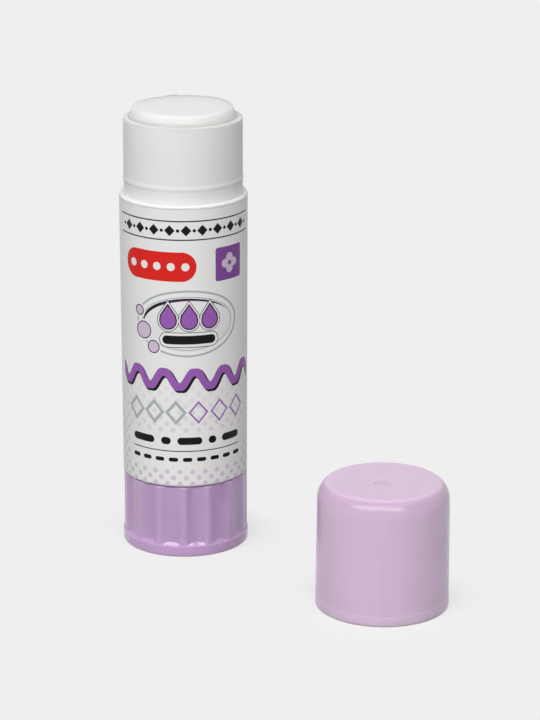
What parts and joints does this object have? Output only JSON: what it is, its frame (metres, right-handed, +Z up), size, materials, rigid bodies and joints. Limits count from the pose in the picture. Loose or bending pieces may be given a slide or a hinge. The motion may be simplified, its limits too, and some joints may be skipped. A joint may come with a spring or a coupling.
{
  "type": "glue stick",
  "caption": "Twist-up glue stick with a fluted base knob, a screw-fed glue column, a printed film label and a separate snap cap.",
  "frame": {"origin": "centre of the knob's flat underside, which the stick stands on", "axes": "+Z up along the stick; -Y is the label's front, which faces the viewer; the cap stands to the front right (+X, -Y)"},
  "size_m": [0.0759, 0.0727, 0.1057],
  "materials": {
    "white_plastic": "smooth moulded white, satin",
    "printed_film": "thin white film, printed with dots and plain shapes, satin",
    "lilac_plastic": "smooth moulded lilac, satin",
    "natural_plastic": "uncoloured moulded plastic",
    "glue": "waxy, slightly translucent white",
    "cap_plastic": "milky translucent lilac, satin"
  },
  "bodies": {
    "barrel": {"barrel": "white_plastic", "label": "printed_film"},
    "knob": {"knob": "lilac_plastic", "screw": "natural_plastic"},
    "carrier": {"carrier": "natural_plastic", "glue": "glue"},
    "cap": {"cap": "cap_plastic"}
  },
  "joints": [
    {"name": "knob_turn", "type": "hinge", "parent": "barrel", "child": "knob", "pos_m": [0, 0, 0], "axis": [0, 0, 1], "range_deg": [-288, 4320]},
    {"name": "carrier_slide", "type": "slide", "parent": "barrel", "child": "carrier", "axis": [0, 0, 1], "range_m": [-0.004, 0.06]},
    {"name": "cap_lift", "type": "slide", "parent": "barrel", "child": "cap", "axis": [0, 0, 1], "range_m": [0, 0.11]}
  ],
  "couplings": [
    {"joint": "knob_turn", "follows": "carrier_slide", "rad_per_m": 1256.6}
  ]
}
